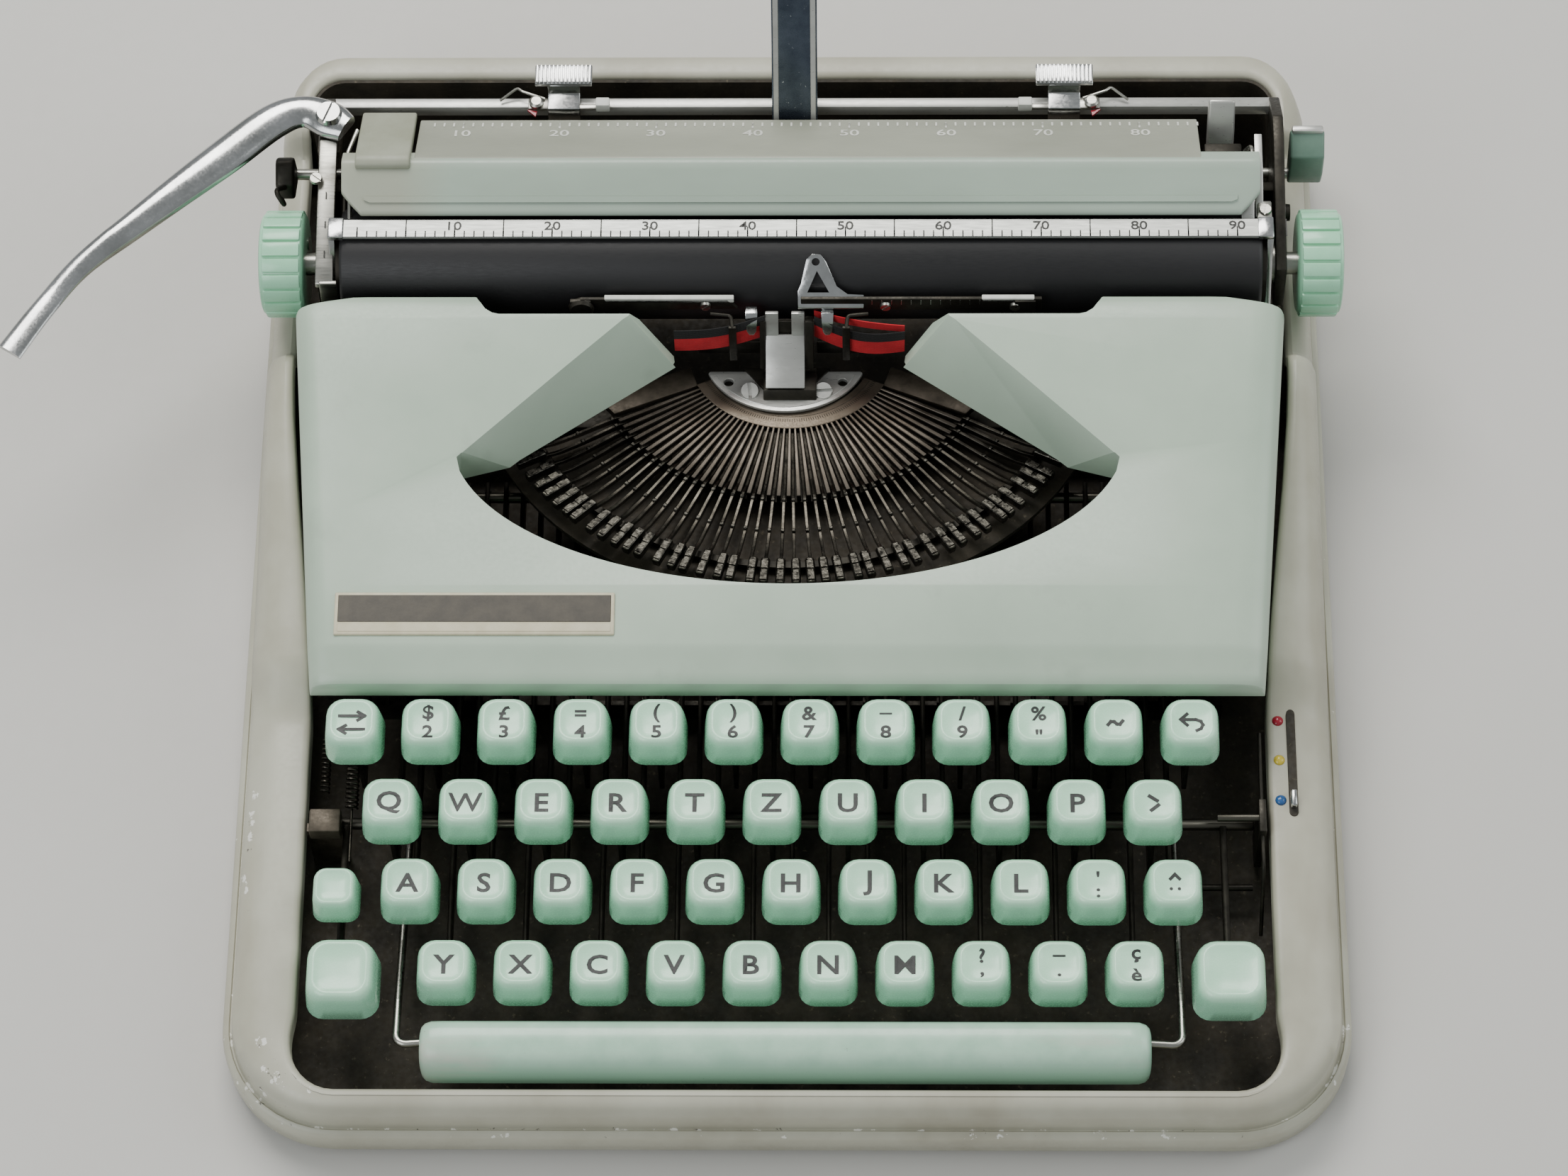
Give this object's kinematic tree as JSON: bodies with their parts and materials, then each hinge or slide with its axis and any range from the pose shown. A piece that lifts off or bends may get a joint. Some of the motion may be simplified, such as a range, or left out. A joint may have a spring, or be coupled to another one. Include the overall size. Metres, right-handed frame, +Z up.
{
  "type": "portable typewriter",
  "caption": "Flat portable typewriter with mint keys, sliding carriage, black platen, chrome return lever and paper bail, in a low painted case with a separate cover.",
  "frame": {"origin": "centre of the whole object's bounding box, on the plane the feet stand on", "axes": "+X to the typist's right, +Y away from the typist, +Z up"},
  "size_m": [0.3482, 0.3074, 0.1215],
  "materials": {
    "case_paint": "satin enamel, worn at the edges",
    "cover_paint": "satin enamel",
    "carriage_paint": "satin enamel",
    "basket_steel": "oiled dark steel",
    "rail_steel": "dark plated steel",
    "platen_rubber": "matt hard rubber with mint plastic knobs",
    "chrome": "bright plated",
    "release_green": "satin enamel with a bright edge",
    "key_mint": "satin",
    "space_mint": "satin, worn"
  },
  "bodies": {
    "base": {"base_case": "case_paint", "top_cover": "cover_paint", "type_basket": "basket_steel"},
    "carriage_lift_rail": {"carriage_rail": "rail_steel"},
    "carriage": {"carriage_frame": "carriage_paint"},
    "platen": {"platen": "platen_rubber"},
    "return_lever": {"return_lever": "chrome"},
    "paper_bail": {"paper_bail": "chrome"},
    "paper_support": {"paper_support": "chrome"},
    "paper_release_lever": {"paper_release_lever": "chrome"},
    "carriage_release": {"carriage_release": "release_green"},
    "margin_stop_left": {"margin_stop_left": "chrome"},
    "margin_stop_right": {"margin_stop_right": "chrome"},
    "colour_selector": {"colour_selector": "chrome"},
    "shift_keys": {"shift_keys": "key_mint"},
    "space_bar": {"space_bar": "space_mint"},
    "backspace_key": {"backspace_key": "key_mint"},
    "margin_release_key": {"margin_release_key": "key_mint"},
    "type_key_2": {"type_key_2": "key_mint"},
    "type_key_3": {"type_key_3": "key_mint"},
    "type_key_4": {"type_key_4": "key_mint"},
    "type_key_5": {"type_key_5": "key_mint"},
    "type_key_6": {"type_key_6": "key_mint"},
    "type_key_7": {"type_key_7": "key_mint"},
    "type_key_8": {"type_key_8": "key_mint"},
    "type_key_9": {"type_key_9": "key_mint"},
    "type_key_percent": {"type_key_percent": "key_mint"},
    "type_key_tilde": {"type_key_tilde": "key_mint"},
    "type_key_Q": {"type_key_Q": "key_mint"},
    "type_key_W": {"type_key_W": "key_mint"},
    "type_key_E": {"type_key_E": "key_mint"},
    "type_key_R": {"type_key_R": "key_mint"},
    "type_key_T": {"type_key_T": "key_mint"},
    "type_key_Z": {"type_key_Z": "key_mint"},
    "type_key_U": {"type_key_U": "key_mint"},
    "type_key_I": {"type_key_I": "key_mint"},
    "type_key_O": {"type_key_O": "key_mint"},
    "type_key_P": {"type_key_P": "key_mint"},
    "type_key_accent": {"type_key_accent": "key_mint"},
    "type_key_A": {"type_key_A": "key_mint"},
    "type_key_S": {"type_key_S": "key_mint"},
    "type_key_D": {"type_key_D": "key_mint"},
    "type_key_F": {"type_key_F": "key_mint"},
    "type_key_G": {"type_key_G": "key_mint"},
    "type_key_H": {"type_key_H": "key_mint"},
    "type_key_J": {"type_key_J": "key_mint"},
    "type_key_K": {"type_key_K": "key_mint"},
    "type_key_L": {"type_key_L": "key_mint"},
    "type_key_colon": {"type_key_colon": "key_mint"},
    "type_key_diaeresis": {"type_key_diaeresis": "key_mint"},
    "type_key_Y": {"type_key_Y": "key_mint"},
    "type_key_X": {"type_key_X": "key_mint"},
    "type_key_C": {"type_key_C": "key_mint"},
    "type_key_V": {"type_key_V": "key_mint"},
    "type_key_B": {"type_key_B": "key_mint"},
    "type_key_N": {"type_key_N": "key_mint"},
    "type_key_M": {"type_key_M": "key_mint"},
    "type_key_comma": {"type_key_comma": "key_mint"},
    "type_key_stop": {"type_key_stop": "key_mint"},
    "type_key_cedilla": {"type_key_cedilla": "key_mint"}
  },
  "joints": [
    {"name": "carriage_travel", "type": "slide", "parent": "carriage_lift_rail", "child": "carriage", "axis": [1, 0, 0], "range_m": [-0.102, 0.102]},
    {"name": "shift", "type": "hinge", "parent": "base", "child": "shift_keys", "pos_m": [0.02996, -0.07322, 0.0226], "axis": [1, 0, 0], "range_deg": [0, 13.2], "stiffness_Nm_per_rad": 0.4, "springref_deg": -11.46},
    {"name": "carriage_lift", "type": "slide", "parent": "base", "child": "carriage_lift_rail", "axis": [0, 0, 1], "range_m": [0, 0.006], "stiffness_N_per_m": 250, "springref_m": 0.034},
    {"name": "platen_turn", "type": "hinge", "parent": "carriage", "child": "platen", "pos_m": [0.03276, 0.07598, 0.05], "axis": [1, 0, 0], "continuous": true},
    {"name": "line_space_lever", "type": "hinge", "parent": "carriage", "child": "return_lever", "pos_m": [-0.09114, 0.10948, 0.0685], "axis": [0, 0, 1], "range_deg": [0, 32], "stiffness_Nm_per_rad": 0.3, "springref_deg": -5.73},
    {"name": "bail_lift", "type": "hinge", "parent": "carriage", "child": "paper_bail", "pos_m": [0.03276, 0.06428, 0.042], "axis": [1, 0, 0], "range_deg": [0, 29]},
    {"name": "paper_support_swing", "type": "hinge", "parent": "carriage", "child": "paper_support", "pos_m": [0.03106, 0.11488, 0.06], "axis": [0, -0.848, 0.5299], "range_deg": [0, 82]},
    {"name": "paper_release", "type": "hinge", "parent": "carriage", "child": "paper_release_lever", "pos_m": [0.14336, 0.09928, 0.05], "axis": [1, 0, 0], "range_deg": [0, 16]},
    {"name": "carriage_release_press", "type": "hinge", "parent": "carriage", "child": "carriage_release", "pos_m": [0.03276, 0.10628, 0.046], "axis": [1, 0, 0], "range_deg": [0, 10], "stiffness_Nm_per_rad": 0.1, "springref_deg": -8.59},
    {"name": "margin_left", "type": "slide", "parent": "carriage", "child": "margin_stop_left", "axis": [1, 0, 0], "range_m": [-0.045, 0.05]},
    {"name": "margin_right", "type": "slide", "parent": "carriage", "child": "margin_stop_right", "axis": [1, 0, 0], "range_m": [-0.055, 0.035]},
    {"name": "ribbon_colour", "type": "slide", "parent": "base", "child": "colour_selector", "axis": [0, 1, 0], "range_m": [0, 0.022]},
    {"name": "space_bar_press", "type": "hinge", "parent": "base", "child": "space_bar", "pos_m": [0.02996, -0.06372, 0.0064], "axis": [1, 0, 0], "range_deg": [0, 7], "stiffness_Nm_per_rad": 0.3, "springref_deg": -11.46},
    {"name": "press_backspace_key", "type": "hinge", "parent": "base", "child": "backspace_key", "pos_m": [0.13111, 0.02328, 0.018], "axis": [1, 0, 0], "range_deg": [0, 6.4], "stiffness_Nm_per_rad": 0.1, "springref_deg": -8.59},
    {"name": "press_margin_release_key", "type": "hinge", "parent": "base", "child": "margin_release_key", "pos_m": [-0.07844, 0.02328, 0.018], "axis": [1, 0, 0], "range_deg": [0, 6.4], "stiffness_Nm_per_rad": 0.1, "springref_deg": -8.59},
    {"name": "press_type_key_2", "type": "hinge", "parent": "base", "child": "type_key_2", "pos_m": [-0.05939, 0.02328, 0.018], "axis": [1, 0, 0], "range_deg": [0, 6.4], "stiffness_Nm_per_rad": 0.1, "springref_deg": -8.59},
    {"name": "press_type_key_3", "type": "hinge", "parent": "base", "child": "type_key_3", "pos_m": [-0.04034, 0.02328, 0.018], "axis": [1, 0, 0], "range_deg": [0, 6.4], "stiffness_Nm_per_rad": 0.1, "springref_deg": -8.59},
    {"name": "press_type_key_4", "type": "hinge", "parent": "base", "child": "type_key_4", "pos_m": [-0.02129, 0.02328, 0.018], "axis": [1, 0, 0], "range_deg": [0, 6.4], "stiffness_Nm_per_rad": 0.1, "springref_deg": -8.59},
    {"name": "press_type_key_5", "type": "hinge", "parent": "base", "child": "type_key_5", "pos_m": [-0.00224, 0.02328, 0.018], "axis": [1, 0, 0], "range_deg": [0, 6.4], "stiffness_Nm_per_rad": 0.1, "springref_deg": -8.59},
    {"name": "press_type_key_6", "type": "hinge", "parent": "base", "child": "type_key_6", "pos_m": [0.01681, 0.02328, 0.018], "axis": [1, 0, 0], "range_deg": [0, 6.4], "stiffness_Nm_per_rad": 0.1, "springref_deg": -8.59},
    {"name": "press_type_key_7", "type": "hinge", "parent": "base", "child": "type_key_7", "pos_m": [0.03586, 0.02328, 0.018], "axis": [1, 0, 0], "range_deg": [0, 6.4], "stiffness_Nm_per_rad": 0.1, "springref_deg": -8.59},
    {"name": "press_type_key_8", "type": "hinge", "parent": "base", "child": "type_key_8", "pos_m": [0.05491, 0.02328, 0.018], "axis": [1, 0, 0], "range_deg": [0, 6.4], "stiffness_Nm_per_rad": 0.1, "springref_deg": -8.59},
    {"name": "press_type_key_9", "type": "hinge", "parent": "base", "child": "type_key_9", "pos_m": [0.07396, 0.02328, 0.018], "axis": [1, 0, 0], "range_deg": [0, 6.4], "stiffness_Nm_per_rad": 0.1, "springref_deg": -8.59},
    {"name": "press_type_key_percent", "type": "hinge", "parent": "base", "child": "type_key_percent", "pos_m": [0.09301, 0.02328, 0.018], "axis": [1, 0, 0], "range_deg": [0, 6.4], "stiffness_Nm_per_rad": 0.1, "springref_deg": -8.59},
    {"name": "press_type_key_tilde", "type": "hinge", "parent": "base", "child": "type_key_tilde", "pos_m": [0.11206, 0.02328, 0.018], "axis": [1, 0, 0], "range_deg": [0, 6.4], "stiffness_Nm_per_rad": 0.1, "springref_deg": -8.59},
    {"name": "press_type_key_Q", "type": "hinge", "parent": "base", "child": "type_key_Q", "pos_m": [-0.06884, 0.02328, 0.018], "axis": [1, 0, 0], "range_deg": [0, 4.7], "stiffness_Nm_per_rad": 0.1, "springref_deg": -8.59},
    {"name": "press_type_key_W", "type": "hinge", "parent": "base", "child": "type_key_W", "pos_m": [-0.04979, 0.02328, 0.018], "axis": [1, 0, 0], "range_deg": [0, 4.7], "stiffness_Nm_per_rad": 0.1, "springref_deg": -8.59},
    {"name": "press_type_key_E", "type": "hinge", "parent": "base", "child": "type_key_E", "pos_m": [-0.03074, 0.02328, 0.018], "axis": [1, 0, 0], "range_deg": [0, 4.7], "stiffness_Nm_per_rad": 0.1, "springref_deg": -8.59},
    {"name": "press_type_key_R", "type": "hinge", "parent": "base", "child": "type_key_R", "pos_m": [-0.01169, 0.02328, 0.018], "axis": [1, 0, 0], "range_deg": [0, 4.7], "stiffness_Nm_per_rad": 0.1, "springref_deg": -8.59},
    {"name": "press_type_key_T", "type": "hinge", "parent": "base", "child": "type_key_T", "pos_m": [0.00736, 0.02328, 0.018], "axis": [1, 0, 0], "range_deg": [0, 4.7], "stiffness_Nm_per_rad": 0.1, "springref_deg": -8.59},
    {"name": "press_type_key_Z", "type": "hinge", "parent": "base", "child": "type_key_Z", "pos_m": [0.02641, 0.02328, 0.018], "axis": [1, 0, 0], "range_deg": [0, 4.7], "stiffness_Nm_per_rad": 0.1, "springref_deg": -8.59},
    {"name": "press_type_key_U", "type": "hinge", "parent": "base", "child": "type_key_U", "pos_m": [0.04546, 0.02328, 0.018], "axis": [1, 0, 0], "range_deg": [0, 4.7], "stiffness_Nm_per_rad": 0.1, "springref_deg": -8.59},
    {"name": "press_type_key_I", "type": "hinge", "parent": "base", "child": "type_key_I", "pos_m": [0.06451, 0.02328, 0.018], "axis": [1, 0, 0], "range_deg": [0, 4.7], "stiffness_Nm_per_rad": 0.1, "springref_deg": -8.59},
    {"name": "press_type_key_O", "type": "hinge", "parent": "base", "child": "type_key_O", "pos_m": [0.08356, 0.02328, 0.018], "axis": [1, 0, 0], "range_deg": [0, 4.7], "stiffness_Nm_per_rad": 0.1, "springref_deg": -8.59},
    {"name": "press_type_key_P", "type": "hinge", "parent": "base", "child": "type_key_P", "pos_m": [0.10261, 0.02328, 0.018], "axis": [1, 0, 0], "range_deg": [0, 4.7], "stiffness_Nm_per_rad": 0.1, "springref_deg": -8.59},
    {"name": "press_type_key_accent", "type": "hinge", "parent": "base", "child": "type_key_accent", "pos_m": [0.12166, 0.02328, 0.018], "axis": [1, 0, 0], "range_deg": [0, 4.7], "stiffness_Nm_per_rad": 0.1, "springref_deg": -8.59},
    {"name": "press_type_key_A", "type": "hinge", "parent": "base", "child": "type_key_A", "pos_m": [-0.06394, 0.02328, 0.018], "axis": [1, 0, 0], "range_deg": [0, 4.7], "stiffness_Nm_per_rad": 0.1, "springref_deg": -8.59},
    {"name": "press_type_key_S", "type": "hinge", "parent": "base", "child": "type_key_S", "pos_m": [-0.04489, 0.02328, 0.018], "axis": [1, 0, 0], "range_deg": [0, 4.7], "stiffness_Nm_per_rad": 0.1, "springref_deg": -8.59},
    {"name": "press_type_key_D", "type": "hinge", "parent": "base", "child": "type_key_D", "pos_m": [-0.02584, 0.02328, 0.018], "axis": [1, 0, 0], "range_deg": [0, 4.7], "stiffness_Nm_per_rad": 0.1, "springref_deg": -8.59},
    {"name": "press_type_key_F", "type": "hinge", "parent": "base", "child": "type_key_F", "pos_m": [-0.00679, 0.02328, 0.018], "axis": [1, 0, 0], "range_deg": [0, 4.7], "stiffness_Nm_per_rad": 0.1, "springref_deg": -8.59},
    {"name": "press_type_key_G", "type": "hinge", "parent": "base", "child": "type_key_G", "pos_m": [0.01226, 0.02328, 0.018], "axis": [1, 0, 0], "range_deg": [0, 4.7], "stiffness_Nm_per_rad": 0.1, "springref_deg": -8.59},
    {"name": "press_type_key_H", "type": "hinge", "parent": "base", "child": "type_key_H", "pos_m": [0.03131, 0.02328, 0.018], "axis": [1, 0, 0], "range_deg": [0, 4.7], "stiffness_Nm_per_rad": 0.1, "springref_deg": -8.59},
    {"name": "press_type_key_J", "type": "hinge", "parent": "base", "child": "type_key_J", "pos_m": [0.05036, 0.02328, 0.018], "axis": [1, 0, 0], "range_deg": [0, 4.7], "stiffness_Nm_per_rad": 0.1, "springref_deg": -8.59},
    {"name": "press_type_key_K", "type": "hinge", "parent": "base", "child": "type_key_K", "pos_m": [0.06941, 0.02328, 0.018], "axis": [1, 0, 0], "range_deg": [0, 4.7], "stiffness_Nm_per_rad": 0.1, "springref_deg": -8.59},
    {"name": "press_type_key_L", "type": "hinge", "parent": "base", "child": "type_key_L", "pos_m": [0.08846, 0.02328, 0.018], "axis": [1, 0, 0], "range_deg": [0, 4.7], "stiffness_Nm_per_rad": 0.1, "springref_deg": -8.59},
    {"name": "press_type_key_colon", "type": "hinge", "parent": "base", "child": "type_key_colon", "pos_m": [0.10751, 0.02328, 0.018], "axis": [1, 0, 0], "range_deg": [0, 4.7], "stiffness_Nm_per_rad": 0.1, "springref_deg": -8.59},
    {"name": "press_type_key_diaeresis", "type": "hinge", "parent": "base", "child": "type_key_diaeresis", "pos_m": [0.12656, 0.02328, 0.018], "axis": [1, 0, 0], "range_deg": [0, 4.7], "stiffness_Nm_per_rad": 0.1, "springref_deg": -8.59},
    {"name": "press_type_key_Y", "type": "hinge", "parent": "base", "child": "type_key_Y", "pos_m": [-0.05464, 0.02328, 0.018], "axis": [1, 0, 0], "range_deg": [0, 4.4], "stiffness_Nm_per_rad": 0.1, "springref_deg": -8.59},
    {"name": "press_type_key_X", "type": "hinge", "parent": "base", "child": "type_key_X", "pos_m": [-0.03559, 0.02328, 0.018], "axis": [1, 0, 0], "range_deg": [0, 4.4], "stiffness_Nm_per_rad": 0.1, "springref_deg": -8.59},
    {"name": "press_type_key_C", "type": "hinge", "parent": "base", "child": "type_key_C", "pos_m": [-0.01654, 0.02328, 0.018], "axis": [1, 0, 0], "range_deg": [0, 4.4], "stiffness_Nm_per_rad": 0.1, "springref_deg": -8.59},
    {"name": "press_type_key_V", "type": "hinge", "parent": "base", "child": "type_key_V", "pos_m": [0.00251, 0.02328, 0.018], "axis": [1, 0, 0], "range_deg": [0, 4.4], "stiffness_Nm_per_rad": 0.1, "springref_deg": -8.59},
    {"name": "press_type_key_B", "type": "hinge", "parent": "base", "child": "type_key_B", "pos_m": [0.02156, 0.02328, 0.018], "axis": [1, 0, 0], "range_deg": [0, 4.4], "stiffness_Nm_per_rad": 0.1, "springref_deg": -8.59},
    {"name": "press_type_key_N", "type": "hinge", "parent": "base", "child": "type_key_N", "pos_m": [0.04061, 0.02328, 0.018], "axis": [1, 0, 0], "range_deg": [0, 4.4], "stiffness_Nm_per_rad": 0.1, "springref_deg": -8.59},
    {"name": "press_type_key_M", "type": "hinge", "parent": "base", "child": "type_key_M", "pos_m": [0.05966, 0.02328, 0.018], "axis": [1, 0, 0], "range_deg": [0, 4.4], "stiffness_Nm_per_rad": 0.1, "springref_deg": -8.59},
    {"name": "press_type_key_comma", "type": "hinge", "parent": "base", "child": "type_key_comma", "pos_m": [0.07871, 0.02328, 0.018], "axis": [1, 0, 0], "range_deg": [0, 4.4], "stiffness_Nm_per_rad": 0.1, "springref_deg": -8.59},
    {"name": "press_type_key_stop", "type": "hinge", "parent": "base", "child": "type_key_stop", "pos_m": [0.09776, 0.02328, 0.018], "axis": [1, 0, 0], "range_deg": [0, 4.4], "stiffness_Nm_per_rad": 0.1, "springref_deg": -8.59},
    {"name": "press_type_key_cedilla", "type": "hinge", "parent": "base", "child": "type_key_cedilla", "pos_m": [0.11681, 0.02328, 0.018], "axis": [1, 0, 0], "range_deg": [0, 4.4], "stiffness_Nm_per_rad": 0.1, "springref_deg": -8.59}
  ],
  "couplings": [
    {"joint": "shift", "follows": "carriage_lift", "rad_per_m": 37.816}
  ]
}
